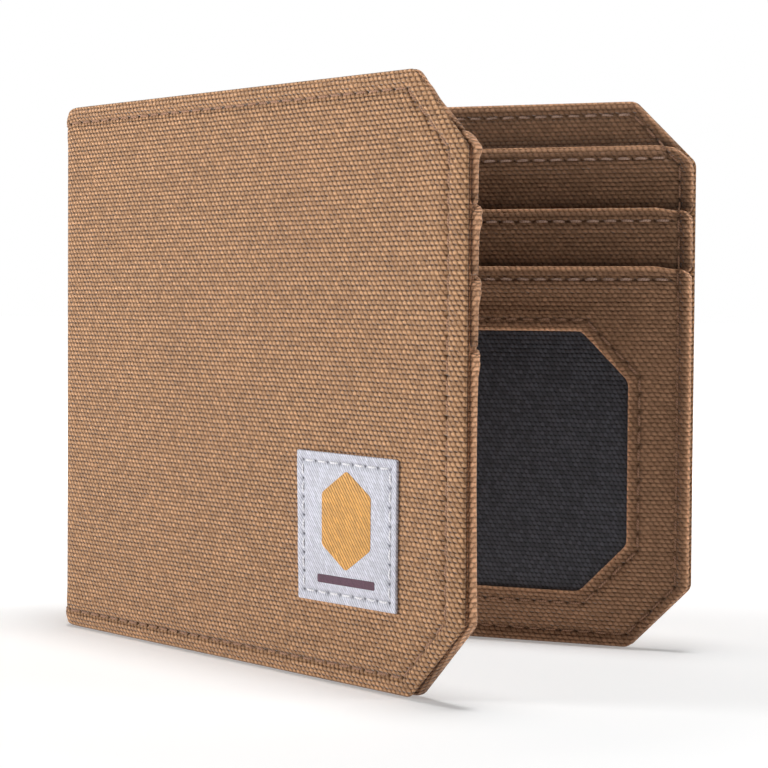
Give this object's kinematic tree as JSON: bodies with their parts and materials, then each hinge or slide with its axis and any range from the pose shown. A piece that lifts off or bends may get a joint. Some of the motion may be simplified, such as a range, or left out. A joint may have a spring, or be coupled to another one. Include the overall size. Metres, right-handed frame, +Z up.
{
  "type": "bifold wallet",
  "caption": "Bifold wallet of woven nylon duck with a note compartment, stepped card pockets and an identity card window; it folds shut and opens flat.",
  "frame": {"origin": "bottom centre of the wallet's box, on the surface that it stands on", "axes": "+Z up; +X along the back leaf from its fold to its free edge; +Y out of the back leaf's cover, so the front leaf opens towards -Y"},
  "size_m": [0.11, 0.067, 0.092],
  "materials": {
    "duck": "woven brown nylon duck",
    "dark_lining": "dark woven polyester",
    "interlining": "grey pressed fibre board",
    "thread": "brown sewing thread",
    "woven_label": "pale satin weave with a gold pattern",
    "label_thread": "pale sewing thread"
  },
  "bodies": {
    "back_leaf": {"back_cover": "duck", "back_stiffener": "interlining", "back_bill_lining": "dark_lining", "back_divider_lining": "dark_lining", "back_inner_panel": "duck", "back_card_pocket_upper": "duck", "back_card_pocket_lower": "duck", "id_backing": "dark_lining", "id_pocket": "duck", "back_edge_stitching": "thread", "back_panel_stitching": "thread", "back_fold_side_stitching": "thread", "back_pocket_stitching": "thread", "id_window_stitching": "thread"},
    "spine": {"spine_cover": "duck", "spine_bill_lining": "dark_lining", "spine_divider_lining": "dark_lining", "spine_inner_panel": "duck", "spine_stitching": "thread"},
    "front_leaf": {"front_cover": "duck", "front_stiffener": "interlining", "front_bill_lining": "dark_lining", "front_divider_lining": "dark_lining", "front_inner_panel": "duck", "front_card_pocket_1": "duck", "front_card_pocket_2": "duck", "front_card_pocket_3": "duck", "front_card_pocket_4": "duck", "front_edge_stitching": "thread", "front_panel_stitching": "thread", "front_fold_side_stitching": "thread", "front_pocket_stitching": "thread", "label": "woven_label", "label_stitching": "label_thread"}
  },
  "joints": [
    {"name": "back_fold", "type": "hinge", "parent": "back_leaf", "child": "spine", "pos_m": [-0.05051, 0.0331, 0], "axis": [0, 0, -1], "range_deg": [-16.3, 76.7]},
    {"name": "front_fold", "type": "hinge", "parent": "spine", "child": "front_leaf", "pos_m": [-0.05504, 0.01393, 0], "axis": [0, 0, -1], "range_deg": [-16.3, 76.7]}
  ],
  "couplings": [
    {"joint": "front_fold", "follows": "back_fold", "ratio": 1}
  ]
}
